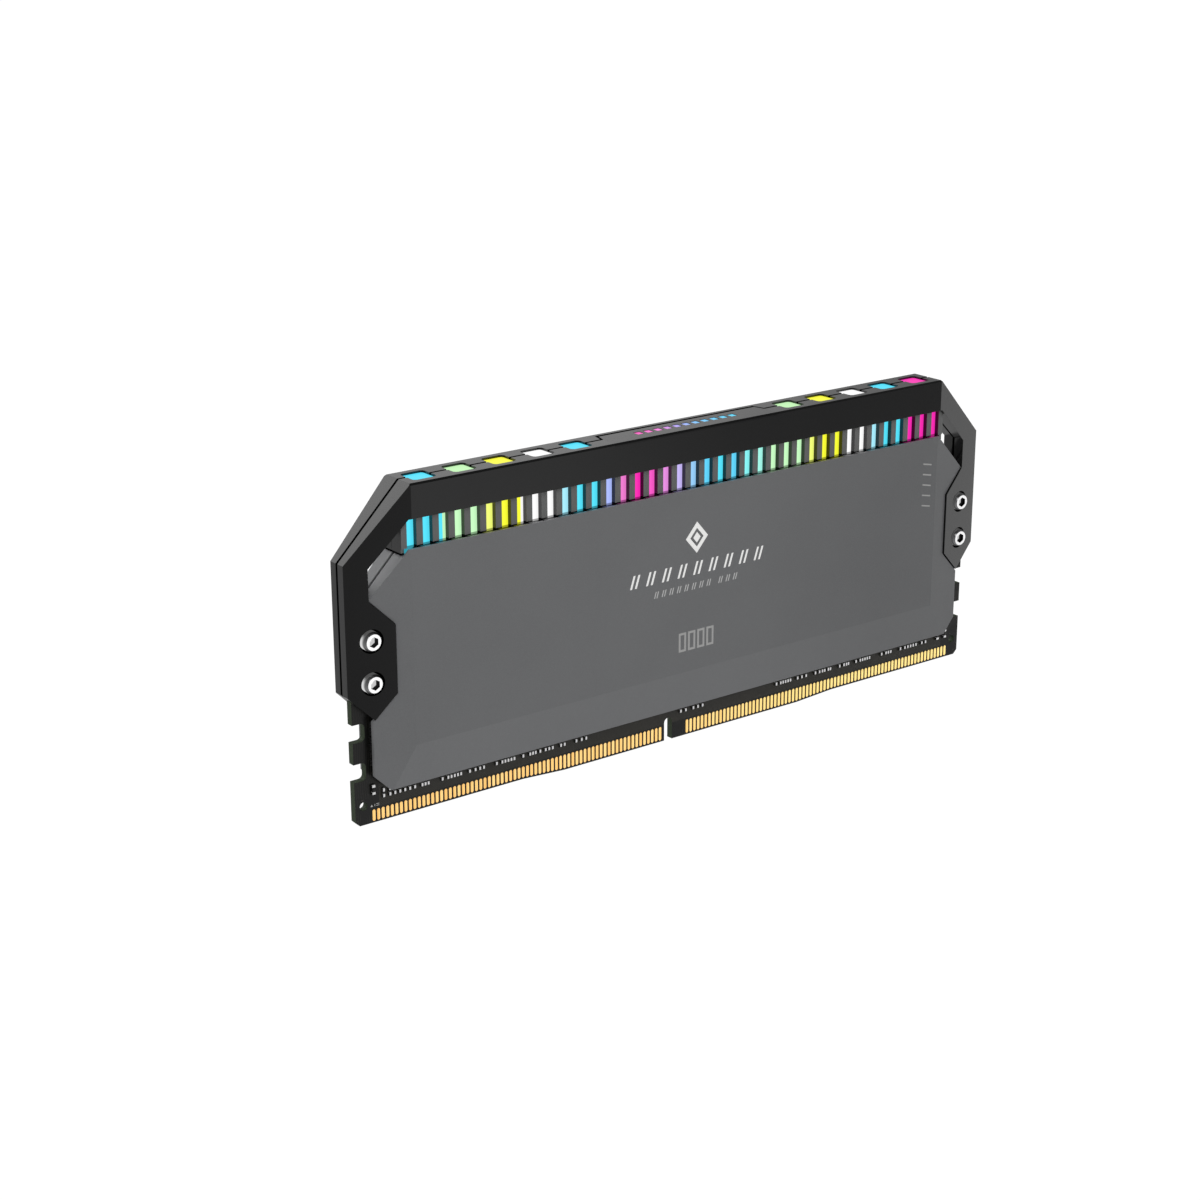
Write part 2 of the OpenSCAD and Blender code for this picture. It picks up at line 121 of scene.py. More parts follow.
class Material(Graph):
    def __init__(self, name):
        self.material = bpy.data.materials.new(name)
        self.material.use_nodes = True
        super().__init__(self.material.node_tree, "OutputMaterial")

    def mix(self, factor, low, high, weight=None):
        if weight is not None:
            factor = factor * weight
        node = self.add("Mix", data_type="RGBA")
        for index, value in ((0, factor), (6, low), (7, high)):
            self.feed(node.inputs[index], value)
        return Signal(self, node.outputs[2])

    def ramp(self, factor, stops, interpolation="LINEAR"):
        """Colour ramp; stops are (position, colour)."""
        node = self.add("ValToRGB", {0: factor})
        elements = node.color_ramp.elements
        node.color_ramp.interpolation = interpolation
        elements.remove(elements[-1])
        elements[0].position, elements[0].color = stops[0]
        for position, color in stops[1:]:
            elements.new(position).color = color
        return Signal(self, node.outputs[0])

    def step(self, value, start, end):
        """Smooth rise from 0 at start to 1 at end."""
        node = self.add("MapRange", {0: value, 1: start, 2: end}, interpolation_type="SMOOTHSTEP")
        return Signal(self, node.outputs[0])

    def maximum(self, first, second):
        return self.math("MAXIMUM", first, second)

    def wave(self, value, period):
        return self.math("SINE", value * (2 * math.pi / period))

    def along(self, x, length):
        """0 at the left end and 1 at the right end of a centred length."""
        return self.math("MULTIPLY_ADD", x, 1.0 / length, 0.5)

    def mirrored_distance(self, x, z, half_span, z_low, z_high):
        """Distance in XZ from the nearest of four points at +-half_span, z_low and z_high."""
        across = abs(x) - half_span
        rise = abs(z - (z_low + z_high) / 2) - (z_high - z_low) / 2
        return self.math("SQRT", across * across + rise * rise)

    def coords(self, scale=None):
        place = self.add("TexCoord").outputs["Object"]
        if scale is None:
            return place
        return self.add("Mapping", {"Vector": place, "Scale": scale}).outputs[0]

    def split(self, vector):
        parts = self.add("SeparateXYZ", {0: vector}).outputs
        return [Signal(self, part) for part in parts]

    def xyz(self):
        return self.split(self.coords())

    def normal(self):
        return self.split(self.add("NewGeometry").outputs["True Normal"])

    def noise(self, scale, detail=2.0, roughness=0.5, stretch=None):
        node = self.add("TexNoise", {"Scale": scale, "Detail": detail, "Roughness": roughness,
                                     "Vector": self.coords(stretch)})
        return Signal(self, node.outputs[0])

    def edge(self, radius):
        """1 on edges, 0 on flats."""
        bevel = self.add("Bevel", {"Radius": radius}, samples=4)
        true = self.add("NewGeometry").outputs["Normal"]
        dot = self.add("VectorMath", {0: bevel.outputs[0], 1: true}, operation="DOT_PRODUCT")
        return self.step(1.0 - Signal(self, dot.outputs["Value"]), start=0.02, end=0.35)

    def bump(self, height, strength, distance):
        node = self.add("Bump", {"Strength": strength, "Distance": distance, "Height": height})
        return node.outputs[0]

    def surface(self, **inputs):
        """Principled surface; underscores in input names stand for spaces."""
        named = {name.replace("_", " "): value for name, value in inputs.items()}
        shader = self.add("BsdfPrincipled", named)
        self.feed(self.output.inputs[0], shader.outputs[0])
        return self.material


# ---------------------------------------------------------------- anodised metal
SPECULAR = 0.5
# near black for dark joints, and for painted shade in the frame's screw bores
GAP_AND_SHADE_BLACK = grey(0.0015)


def anodised(name, base, roughness, grain, bump, vary):
    """Grained, dyed metal: its graph, colour, roughness and normal, before any details."""
    mat = Material(name)
    fine = mat.noise(scale=grain, detail=3.0, roughness=0.65)
    broad = mat.noise(scale=60, detail=3.0, roughness=0.55)
    middle = mat.noise(scale=900)
    color = mat.mix(mat.step(broad, start=0.3, end=0.7), scaled(base, 1 - vary),
                    scaled(base, 1 + vary))
    speck = mat.step(fine, start=0.3, end=0.72)
    color = mat.mix(speck, color, scaled(base, 1.5), weight=0.3)
    rough = (fine + middle * 0.5).spread(base=roughness - 0.04, gain=0.06)
    height = fine * 1.0 + middle * 0.25
    return mat, color, rough, mat.bump(height, strength=bump, distance=0.04 * MM)


def worn_and_highlit_edges(mat, color, amount, wear_and_highlight_color):
    """Paler metal in patches along the edges: partly wear, partly a painted edge highlight."""
    edge = mat.edge(radius=0.14 * MM)
    patches = mat.step(mat.noise(scale=1500, detail=3.0, roughness=0.6), start=0.35, end=0.65)
    return mat.mix(edge * amount * patches.spread(base=0.35, gain=0.65), color, wear_and_highlight_color)


def seam_line(mat, y, half_width):
    """1 on a line along the middle of the thickness."""
    return 1.0 - mat.step(abs(y), start=half_width * 0.9, end=half_width * 1.1)


def darken_seam(mat, color, rough, seam):
    return mat.mix(seam, color, GAP_AND_SHADE_BLACK), mat.math("ADD", rough, seam * 0.35, clamp=True)


def spreader_anodised():
    base = srgb(147, 148, 150)
    mat, color, rough, normal = anodised("spreader_anodised", base, roughness=0.5, grain=6500,
                                         bump=0.10, vary=0.025)
    nz = mat.normal()[2]
    x, y, z = mat.xyz()
    # painted light: facets that lean down are painted lighter, facets that face up lighter still,
    # and a painted shade darkens the colour towards the right
    lower_facet_highlight = mat.step(nz * -1.0, start=0.04, end=0.07) * (nz < -0.01)
    color = mat.mix(lower_facet_highlight, color, scaled(base, 2.0), weight=0.09)
    color = mat.mix(mat.step(nz, start=0.25, end=0.35), color, scaled(base, 1.6))
    color = mat.mix(mat.step(x, start=0, end=50 * MM), color, grey(0), weight=0.13)
    # edges painted paler: partly wear, partly a painted highlight
    color = worn_and_highlit_edges(mat, color, amount=0.16, wear_and_highlight_color=(0.42, 0.42, 0.43, 1))
    seam = seam_line(mat, y, half_width=0.2 * MM)
    color, rough = darken_seam(mat, color, rough, seam)
    return mat.surface(Base_Color=color, Roughness=rough, Normal=normal,
                       Specular_IOR_Level=(1.0 - seam) * SPECULAR)


def frame_anodised():
    seam_stop_x, seam_stop_z = 17.65 * MM, 53.2 * MM
    bore_x, bore_low, bore_high, bore_radius = 63.65 * MM, 24.5 * MM, 31.45 * MM, 1.97 * MM
    # plate at the top middle: half length, back edge and the height it starts at
    plate_x, plate_y, plate_z = 17.4 * MM, 2.1 * MM, 55.0 * MM
    # lines on it: half width and offset of the back one, its end inset; slope of the end ones
    back_half, back_offset, back_inset = 0.34 * MM, 0.06 * MM, 0.35 * MM
    end_half, end_front, end_slope = 0.24 * MM, -0.2 * MM, 0.26
    plate_shade = 0.22

    mat, color, rough, normal = anodised("frame_anodised", (0.009, 0.009, 0.0092, 1),
                                         roughness=0.15, grain=5200, bump=0.045, vary=0.1)
    x, y, z = mat.xyz()
    # edges painted paler: partly wear, partly a painted highlight
    color = worn_and_highlit_edges(mat, color, amount=0.10, wear_and_highlight_color=grey(0.12))
    seam = seam_line(mat, y, half_width=0.27 * MM)
    seam = seam * (1.0 - (abs(x) < seam_stop_x) * (z > seam_stop_z))
    color, rough = darken_seam(mat, color, rough, seam)

    # painted shade: the screw counterbores are coloured near black and lose their specular
    bore_shade = mat.mirrored_distance(x, z, bore_x, bore_low, bore_high) < bore_radius
    high = z > plate_z
    back_line = abs(y - (plate_y + back_offset)) < back_half
    back_line = back_line * (abs(x) < plate_x - back_inset)
    end_lines = abs(abs(x) - (plate_x - y * end_slope)) < end_half
    end_lines = end_lines * ((y > end_front) * (y < plate_y))
    dark = mat.maximum(bore_shade, high * mat.maximum(back_line, end_lines))
    plate = high * ((abs(x) < plate_x) * (y < plate_y))
    dull = mat.maximum(seam, mat.maximum(dark, plate * plate_shade))
    color = mat.mix(dark, color, GAP_AND_SHADE_BLACK)
    return mat.surface(Base_Color=color, Roughness=rough, Normal=normal,
                       Specular_IOR_Level=(1.0 - dull) * SPECULAR)


def fin_anodised():
    roughness, side_roughness = 0.5, 0.16
    # height of the painted shade at the foot along the middle and at the two ends, where it is
    # taller outside
    end_x, outer_y = 56.9 * MM, 3.0 * MM
    middle_top, end_top, outer_rise = 45.4 * MM, 44.50 * MM, 0.8 * MM

    mat, color, rough, normal = anodised("fin_anodised", srgb(136, 137, 136), roughness,
                                         grain=6500, bump=0.10, vary=0.03)
    nx, ny, nz = mat.normal()
    x, y, z = mat.xyz()
    # painted shade: walls facing sideways, up and down are coloured near black and made glossier
    side = mat.maximum(mat.step(abs(nx), start=0.6, end=0.7),
                       mat.step(abs(nz), start=0.6, end=0.7))
    # painted shade: below the foot height the comb is coloured black and loses its specular
    at_end = abs(x) > end_x
    end_height = end_top + (abs(y) > outer_y) * outer_rise
    foot_shade = z < at_end * end_height + (1.0 - at_end) * middle_top
    side = mat.maximum(side, foot_shade)
    return mat.surface(Base_Color=mat.mix(side, color, (0.004, 0.004, 0.005, 1)),
                       Roughness=rough - side * (roughness - side_roughness), Normal=normal,
                       Specular_IOR_Level=(1.0 - foot_shade) * SPECULAR)


# ---------------------------------------------------------------- board and contacts
def solder_mask():
    trace_pitch, hatch_pitch, layer_pitch = 0.425 * MM, 0.42 * MM, 0.21 * MM
    trace_wander = 1.2 * MM
    hatch_half_length = 62.2 * MM

    mat = Material("solder_mask")
    x, y, z = mat.xyz()
    nx, ny, nz = mat.normal()
    face = mat.step(abs(ny), start=0.4, end=0.6)
    # copper traces under the mask: raised upright runs, in patches
    run = x + mat.noise(scale=120, detail=1.0, roughness=0.4) * trace_wander
    trace = mat.step(mat.wave(run, trace_pitch), start=0.1, end=0.5)
    patch = mat.noise(scale=220, detail=1.0, roughness=0.4)
    trace = trace * mat.step(patch, start=0.46, end=0.5)
    # plated vias
    cells = mat.add("TexVoronoi", {"Scale": 900, "Randomness": 0.35,
                                   "Vector": mat.coords((1, 0.001, 1))}, feature="F1")
    distance = Signal(mat, cells.outputs["Distance"])
    via = 1.0 - mat.step(distance, start=0.16, end=0.2)
    patch = mat.noise(scale=400, detail=1.0, roughness=0.4)
    via = via * mat.step(patch, start=0.5, end=0.54)
    # cross-hatched copper ground above the contacts
    rising = mat.step(mat.wave(x + z, hatch_pitch), start=-0.2, end=0.5)
    falling = mat.step(mat.wave(x - z, hatch_pitch), start=-0.2, end=0.5)
    band = mat.step(z, start=2.9 * MM, end=3.1 * MM)
    band = band * (1.0 - mat.step(z, start=6.8 * MM, end=7.1 * MM))
    band = band * (abs(x) < hatch_half_length)
    hatch = mat.maximum(rising, falling) * band
    mask = mat.mix(trace, srgb(25, 25, 24), srgb(50, 48, 43), weight=0.5)
    mask = mat.mix(hatch, mask, srgb(74, 71, 63), weight=0.85)
    mask = mat.mix(via, mask, srgb(78, 74, 64), weight=0.6)
    # cut edge: glass-fibre laminate in thin layers
    layers = mat.wave(y, layer_pitch)
    fibre = mat.noise(scale=9000, roughness=0.6)
    laminate = mat.mix(mat.step(layers + fibre, start=0.0, end=1.2), srgb(40, 52, 34),
                       srgb(74, 90, 62))
    # relief: copper, vias and fibres by their share of the height
    height = mat.maximum(trace, hatch) * 0.6 + (via * 0.7 + fibre * 0.12)
    return mat.surface(Base_Color=mat.mix(face, laminate, mask),
                       Roughness=(1.0 - face).spread(base=0.32, gain=0.35),
                       Normal=mat.bump(height, strength=0.35, distance=0.03 * MM),
                       Specular_IOR_Level=0.45)


def contact_gold():
    mat = Material("contact_gold")
    nx, ny, nz = mat.normal()
    x, y, z = mat.xyz()
    face = mat.step(abs(ny), start=0.5, end=0.9)
    wipe = mat.noise(scale=1.0, stretch=(9000, 9000, 350))
    each = mat.noise(scale=1.0, detail=1.0, stretch=(1300, 10, 10))
    color = mat.mix(mat.step(each, start=0.35, end=0.65), srgb(250, 192, 108),
                    srgb(255, 214, 138))
    # paler towards the right-hand end
    color = mat.mix(mat.step(x, start=-25 * MM, end=40 * MM), color, srgb(255, 228, 142),
                    weight=0.8)
    # painted highlight: the contact faces glow in their plating colour
    glow = 0.72
    return mat.surface(Base_Color=mat.mix(face, srgb(70, 48, 22), color), Metallic=0.45,
                       Roughness=wipe.spread(base=0.24, gain=0.16),
                       Normal=mat.bump(wipe, strength=0.08, distance=0.01 * MM),
                       Emission_Color=color, Emission_Strength=face * glow)


# ---------------------------------------------------------------- bare metals
def plain_metal(name, base, roughness, scratch, bump):
    """Metal whose roughness rises by up to the scratch amount."""
    mat = Material(name)
    fine = mat.noise(scale=1.0, detail=3.0, roughness=0.6, stretch=(6000, 6000, 6000))
    broad = mat.noise(scale=500)
    color = mat.mix(mat.step(broad, start=0.3, end=0.7), scaled(base, 0.93), base)
    return mat.surface(Base_Color=color, Metallic=1.0,
                       Roughness=fine.spread(base=roughness, gain=scratch),
                       Normal=mat.bump(fine, strength=bump, distance=0.01 * MM))


def polished_steel():
    """Cap heads with a socket painted dark as shade, and painted highlights: glowing faces,
    socket bottoms and outer walls.
    """
    head_radius, socket_radius, socket_reach = 1.62 * MM, 0.91 * MM, 3.10 * MM

    mat = Material("polished_steel")
    x, y, z = mat.xyz()
    nx, ny, nz = mat.normal()
    low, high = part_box("screws")
    radius = mat.mirrored_distance(x, z, (high.x - low.x) / 2 - head_radius,
                                   low.z + head_radius, high.z - head_radius)
    depth = abs(y)
    inside = (radius < socket_radius) * (depth < socket_reach)
    flat = mat.step(abs(ny), start=0.8, end=0.97)
    wall = inside * (1.0 - flat)
    face = flat * (1.0 - inside)
    bottom = inside * flat
    rim = mat.step(abs(ny), start=0.15, end=0.5)
    # outer wall of the head: painted highlight, brightest near the frame, facing left and down,
    # on the left screws
    skirt_highlight = (1.0 - inside) * (1.0 - rim)
    deep = 1.0 - mat.step(depth, start=2.0 * MM, end=2.75 * MM)
    left = mat.step(nx * -1.0 + nz * -0.35, start=0.35, end=0.95)
    left = left * (x < 0.0).spread(base=0.15, gain=0.85)
    skirt_highlight = skirt_highlight * (deep * left).spread(base=0.12, gain=0.88)
    fine = mat.noise(scale=9000, detail=3.0, roughness=0.6)
    # painted shade: the socket walls are coloured near black and the chamfer ring darker
    color = mat.mix(wall, (0.86, 0.86, 0.87, 1), (0.012, 0.012, 0.013, 1))
    chamfer = mat.math("SUBTRACT", rim, flat + wall, clamp=True)
    color = mat.mix(chamfer, color, (0.12, 0.12, 0.125, 1), weight=0.7)
    # painted highlights: head faces, socket bottoms and outer walls glow white
    face_glow, bottom_glow, skirt_glow = 0.62, 0.55, 0.7
    face_dielectric = 0.6
    return mat.surface(Base_Color=color, Metallic=1.0 - face * face_dielectric,
                       Roughness=fine.spread(base=0.12, gain=0.1),
                       Normal=mat.bump(fine, strength=0.05, distance=0.01 * MM),
                       Emission_Color=grey(1),
                       Emission_Strength=face * face_glow
                       + (bottom * bottom_glow + skirt_highlight * skirt_glow))


def tin_plate():
    """Part terminals: painted highlight on the lowest row, which glows; the other rows and the
    end faces are painted dark as shade.
    """
    lit_row_top, glow = 8.5 * MM, 0.42
    mat = Material("tin_plate")
    x, y, z = mat.xyz()
    nx, ny, nz = mat.normal()
    fine = mat.noise(scale=12000, detail=3.0, roughness=0.6)
    face = 1.0 - mat.step(abs(nx), start=0.4, end=0.7)
    painted_highlight = face * (z < lit_row_top).spread(base=0.06, gain=0.94)
    color = mat.mix(painted_highlight, grey(0.02), mat.mix(fine, grey(0.55), grey(0.95)))
    return mat.surface(Base_Color=color, Metallic=0.5,
                       Roughness=fine.spread(base=0.2, gain=0.2),
                       Normal=mat.bump(fine, strength=0.2, distance=0.01 * MM),
                       Emission_Color=color, Emission_Strength=painted_highlight * glow)


# ---------------------------------------------------------------- mouldings
def gloss_black():
    mat = Material("tray_gloss_black")
    fine = mat.noise(scale=4000)
    return mat.surface(Base_Color=mat.mix(fine, grey(0.003), grey(0.006)),
                       Roughness=fine.spread(base=0.06, gain=0.1),
                       Normal=mat.bump(fine, strength=0.05, distance=0.01 * MM))


def moulded(name, base, roughness, grain=5000, bump=0.15):
    mat = Material(name)
    fine = mat.noise(scale=grain, detail=3.0, roughness=0.6)
    broad = mat.noise(scale=400)
    cloud = broad * 0.6 + fine * 0.4
    color = mat.mix(mat.step(cloud, start=0.3, end=0.7), scaled(base, 0.92), scaled(base, 1.08))
    return mat.surface(Base_Color=color, Roughness=fine.spread(base=roughness, gain=0.12),
                       Normal=mat.bump(fine, strength=bump, distance=0.02 * MM))


# ---------------------------------------------------------------- lit parts
CYAN = (84, 228, 252)
LIME = (201, 254, 196)
LEMON = (244, 255, 120)
YELLOW = (252, 255, 52)
WHITE = (255, 255, 255)
PALE_CYAN = (168, 238, 255)
LAVENDER = (172, 188, 255)
PINK = (240, 122, 208)
MAGENTA = (253, 42, 181)
HOT_PINK = (250, 88, 200)
ORCHID = (232, 142, 226)
VIOLET = (200, 184, 248)
SKY = (150, 206, 250)
AZURE = (96, 214, 252)
AQUA = (136, 246, 246)
MINT = (164, 250, 234)
# bars from left to right; a two-colour bar is (left colour, right colour, where it changes)
BARS = [
    CYAN, CYAN, (CYAN, LIME, 0.585), LIME, LIME, LEMON, YELLOW, (YELLOW, WHITE, 0.56),
    WHITE, WHITE, PALE_CYAN, CYAN, CYAN, LAVENDER, PINK, MAGENTA, HOT_PINK, ORCHID, VIOLET, SKY,
    AZURE, CYAN, AZURE, AQUA, MINT, LIME, LIME, LIME, LEMON, YELLOW, YELLOW,
    WHITE, WHITE, PALE_CYAN, CYAN, (CYAN, LAVENDER, 0.655), MAGENTA, MAGENTA, MAGENTA]
BAR_PITCH_MM = 2.95
# a colour ramp holds too few stops for every bar, so a second one starts at this bar
SECOND_RAMP_BAR = 20


def bar_stops(first, last):
    stops = []
    for i in range(first, last):
        bar = BARS[i]
        if isinstance(bar[0], tuple):
            left, right, change = bar
            stops.append((i / len(BARS), srgb(*left)))
            stops.append(((i + change) / len(BARS), srgb(*right)))
        else:
            stops.append((i / len(BARS), srgb(*bar)))
    return stops


def lit_lens(mat, color, strength, roughness, specular):
    """Dark glossy body that glows."""
    normal = mat.bump(mat.noise(scale=3000), strength=0.05, distance=0.02 * MM)
    return mat.surface(Base_Color=(0.004, 0.004, 0.005, 1), Roughness=roughness,
                       Emission_Color=color, Emission_Strength=strength,
                       Specular_IOR_Level=specular, Normal=normal)


def lit_bars():
    count = len(BARS)
    mat = Material("lit_diffuser")
    x, y, z = mat.xyz()
    place = mat.along(x, count * BAR_PITCH_MM * MM)
    color = mat.mix(place > SECOND_RAMP_BAR / count - 1e-5,
                    mat.ramp(place, bar_stops(0, SECOND_RAMP_BAR), "CONSTANT"),
                    mat.ramp(place, bar_stops(SECOND_RAMP_BAR, count), "CONSTANT"))
    # only the ribs glow: the core between them sits behind a dark mask
    rib = mat.step(abs(y), start=1.24 * MM, end=1.3 * MM)
    # painted shade: each bar glows at 0.38 of its strength below the fins' feet
    above_painted_shade = mat.step(z, start=45.25 * MM, end=45.35 * MM)
    cloud = mat.noise(scale=700)
    # millimetres from the middle of each bar; the right side is a little dimmer
    local = (mat.math("FRACT", place * float(count)) - 0.5) * BAR_PITCH_MM
    right_dimming = 0.16
    across = 1.04 - mat.step(local, start=-0.2, end=0.9) * right_dimming
    power = above_painted_shade.spread(base=0.38, gain=0.62) * cloud.spread(base=0.97, gain=0.06)
    return lit_lens(mat, color, strength=power * rib * across,
                    roughness=cloud.spread(base=0.25, gain=0.1), specular=0.3)


SOFT_CYAN = (82, 226, 252)
SOFT_LIME = (196, 246, 184)
SOFT_YELLOW = (250, 250, 60)
SOFT_MAGENTA = (252, 52, 182)
WINDOWS = [SOFT_CYAN, SOFT_LIME, SOFT_YELLOW, WHITE] * 2 + [SOFT_CYAN, SOFT_MAGENTA]


def lit_windows():
    inner_x, pitch, span = 22.8, 7.5, 0.12  # mm, mm, metres covered by the ramp
    mat = Material("lit_window")
    x, y, z = mat.xyz()
    centres = sorted(side * (inner_x + pitch * i) for side in (-1, 1) for i in range(5))
    starts = [0.0] + [((left + right) / 2 * MM) / span + 0.5
                      for left, right in zip(centres, centres[1:])]
    stops = [(start, srgb(*color)) for start, color in zip(starts, WINDOWS)]
    color = mat.ramp(mat.along(x, span), stops, "CONSTANT")
    cloud = mat.noise(scale=900)
    top = mat.step(mat.normal()[2], start=0.5, end=0.9)
    power = top.spread(base=0.12, gain=0.86) * cloud.spread(base=0.97, gain=0.05)
    return lit_lens(mat, color, strength=power,
                    roughness=cloud.spread(base=0.3, gain=0.1), specular=0.15)


def lit_strip():
    length = 21.6 * MM
    # position from left to right, colour
    stops = [(0.0, srgb(240, 70, 180)), (0.22, srgb(238, 120, 210)),
             (0.42, srgb(170, 160, 240)), (0.62, srgb(110, 190, 240)), (1.0, srgb(80, 205, 235))]
    mat = Material("lit_strip")
    color = mat.ramp(mat.along(mat.xyz()[0], length), stops)
    cloud = mat.noise(scale=1200)
    return mat.surface(Base_Color=(0.01, 0.01, 0.012, 1), Roughness=0.3, Emission_Color=color,
                       Emission_Strength=cloud.spread(base=0.95, gain=0.2),
                       Specular_IOR_Level=0.2)


def ink(name, shade, glow):
    mat = Material(name)
    fine = mat.noise(scale=9000, roughness=0.6)
    color = mat.mix(mat.step(fine, start=0.3, end=0.7), srgb(shade - 8, shade - 8, shade - 9),
                    srgb(shade + 8, shade + 8, shade + 7))
    # painted light: the print glows so that it reads brighter
    return mat.surface(Base_Color=color, Roughness=fine.spread(base=0.45, gain=0.1),
                       Normal=mat.bump(fine, strength=0.1, distance=0.01 * MM),
                       Emission_Color=(1, 1, 0.98, 1), Emission_Strength=glow)


MATERIALS = {
    "spreader": spreader_anodised(),
    "frame": frame_anodised(),
    "fins": fin_anodised(),
    "pcb": solder_mask(),
    "gold": contact_gold(),
    "steel": plain_metal("ground_steel", (0.6, 0.6, 0.62, 1), roughness=0.2, scratch=0.15,
                         bump=0.06),
    "chrome": polished_steel(),
    "tray": gloss_black(),
    "tin": tin_plate(),
    "solder": plain_metal("solder_dull", grey(0.12), roughness=0.4, scratch=0.2, bump=0.12),
    "epoxy": moulded("epoxy_package", srgb(34, 34, 36), roughness=0.5),
    "ferrite": moulded("ferrite_body", srgb(88, 88, 92), roughness=0.6),
    "capacitor": moulded("ceramic_body", srgb(128, 100, 70), roughness=0.4),
    "dark_chip": moulded("chip_part_body", srgb(30, 29, 28), roughness=0.35),
    "pad": moulded("gap_pad", srgb(140, 152, 160), roughness=0.8, grain=2500, bump=0.3),
    "nylon": moulded("connector_nylon", srgb(222, 214, 192), roughness=0.45),
    "green": moulded("light_board_mask", srgb(24, 44, 32), roughness=0.35),
    "led": moulded("led_package", srgb(240, 236, 220), roughness=0.4),
    "bars": lit_bars(),
    "windows": lit_windows(),
    "strip": lit_strip(),
    "ink_light": ink("print_light", shade=236, glow=0.46),
    "ink_mid": ink("print_mid", shade=200, glow=0.2),
    "ink_dim": ink("print_dim", shade=180, glow=0.12),
}

# CAD piece: (material, bevel width in mm)
PIECES = {
    "pcb": ("pcb", 0.05),
    "contacts_front": ("gold", 0.012), "contacts_back": ("gold", 0.012),
    "dram_chips": ("epoxy", 0.08), "pmic": ("epoxy", 0.05), "spd_hub": ("epoxy", 0.04),
    "inductors": ("ferrite", 0.08), "bulk_capacitors": ("capacitor", 0.1),
    "chip_part_bodies": ("dark_chip", 0.02), "chip_part_terminals": ("tin", 0.05),
    "thermal_pads_front": ("pad", 0.06), "thermal_pad_power": ("pad", 0.05),
    "thermal_pad_back": ("pad", 0.1),
    "heat_spreader_front": ("spreader", 0.12), "heat_spreader_back": ("spreader", 0.12),
    "frame_front": ("frame", 0.12), "frame_back": ("frame", 0.12),
    "fin_comb_front": ("fins", 0.06), "fin_comb_back": ("fins", 0.06),
    "light_guide": ("bars", 0.03), "window_lenses": ("windows", 0.1),
    "tab_light_bars": ("strip", 0.04), "led_board": ("green", 0.04), "leds": ("led", 0.03),
    "led_driver": ("epoxy", 0.04), "edge_header": ("nylon", 0.06), "led_socket": ("nylon", 0.06),
    "frame_dowels": ("steel", 0.05), "screws": ("chrome", 0.04), "barrel_nuts": ("chrome", 0.04),
    "guide_tray_front": ("tray", 0.05), "guide_tray_back": ("tray", 0.05),
}


# ---------------------------------------------------------------- edges of the CAD pieces
def smooth_group():
    """Geometry nodes that smooth gentle edges but keep creases between broad faces."""
    smooth_below = math.radians(28)
    crease_above = math.radians(1.5)
    broad_area = 0.6e-6  # square metres
    broad_share = 0.75  # share of an edge's faces that are broad

    group = bpy.data.node_groups.new("smooth_by_angle", "GeometryNodeTree")
    group.interface.new_socket("Geometry", in_out="INPUT", socket_type="NodeSocketGeometry")
    group.interface.new_socket("Geometry", in_out="OUTPUT", socket_type="NodeSocketGeometry")

    def add(kind, *sources, **settings):
        node = group.nodes.new(kind)
        for name, value in settings.items():
            setattr(node, name, value)
        for i, source in enumerate(sources):
            group.links.new(source, node.inputs[i])
        return node

    def compare(source, operation, threshold):
        node = add("FunctionNodeCompare", source, data_type="FLOAT", operation=operation)
        node.inputs[1].default_value = threshold
        return node.outputs[0]

    source = add("NodeGroupInput")
    result = add("NodeGroupOutput")
    faces = add("GeometryNodeSetShadeSmooth", source.outputs[0], domain="FACE")
    edges = add("GeometryNodeSetShadeSmooth", faces.outputs[0], domain="EDGE")
    angle = add("GeometryNodeInputMeshEdgeAngle").outputs["Unsigned Angle"]
    gentle = compare(angle, "LESS_THAN", smooth_below)
    area = add("GeometryNodeInputMeshFaceArea").outputs[0]
    broad = compare(area, "GREATER_THAN", broad_area)
    on_faces = add("GeometryNodeFieldOnDomain", broad, domain="FACE", data_type="FLOAT")
    both_broad = compare(on_faces.outputs[0], "GREATER_THAN", broad_share)
    steep = compare(angle, "GREATER_THAN", crease_above)
    crease = add("FunctionNodeBooleanMath", both_broad, steep, operation="AND")
    keep = add("FunctionNodeBooleanMath", gentle, crease.outputs[0], operation="NIMPLY")
    group.links.new(keep.outputs[0], edges.inputs["Shade Smooth"])
    group.links.new(edges.outputs[0], result.inputs[0])
    return group


def finish_piece(piece, material, bevel_width, smoothing):
    """Material, softened edges and clean shading for one CAD piece."""
    piece.data.materials.clear()
    piece.data.materials.append(material)
    for polygon in piece.data.polygons:
        polygon.material_index = 0

    def modify(name, kind, **settings):
        modifier = piece.modifiers.new(name, kind)
        for key, value in settings.items():
            setattr(modifier, key, value)

    modify("join", "WELD", merge_threshold=1e-6)
    modify("flats", "DECIMATE", decimate_type="DISSOLVE", angle_limit=math.radians(0.5))
    modify("edges", "BEVEL", width=bevel_width, segments=2, limit_method="ANGLE",
           angle_limit=math.radians(30), use_clamp_overlap=True)
    modify("shade", "NODES", node_group=smoothing)
    modify("normals", "WEIGHTED_NORMAL", mode="FACE_AREA", weight=80, keep_sharp=True)


smoothing = smooth_group()
for name, piece in NODES.items():
    material_key, bevel_mm = PIECES[name]
    finish_piece(piece, MATERIALS[material_key], bevel_mm * MM, smoothing)


# ---------------------------------------------------------------- printed marks
def add_mesh(name, bm, material):
    mesh = bpy.data.meshes.new(name)
    bm.to_mesh(mesh)
    bm.free()
    mesh.materials.append(material)
    thing = bpy.data.objects.new(name, mesh)
    bpy.context.scene.collection.objects.link(thing)
    return thing


INK_THICKNESS = 0.012 * MM
INK_PROUD = 0.005 * MM
spreader_low, spreader_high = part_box("heat_spreader_front")
SPREADER_FACE_Y = spreader_low.y
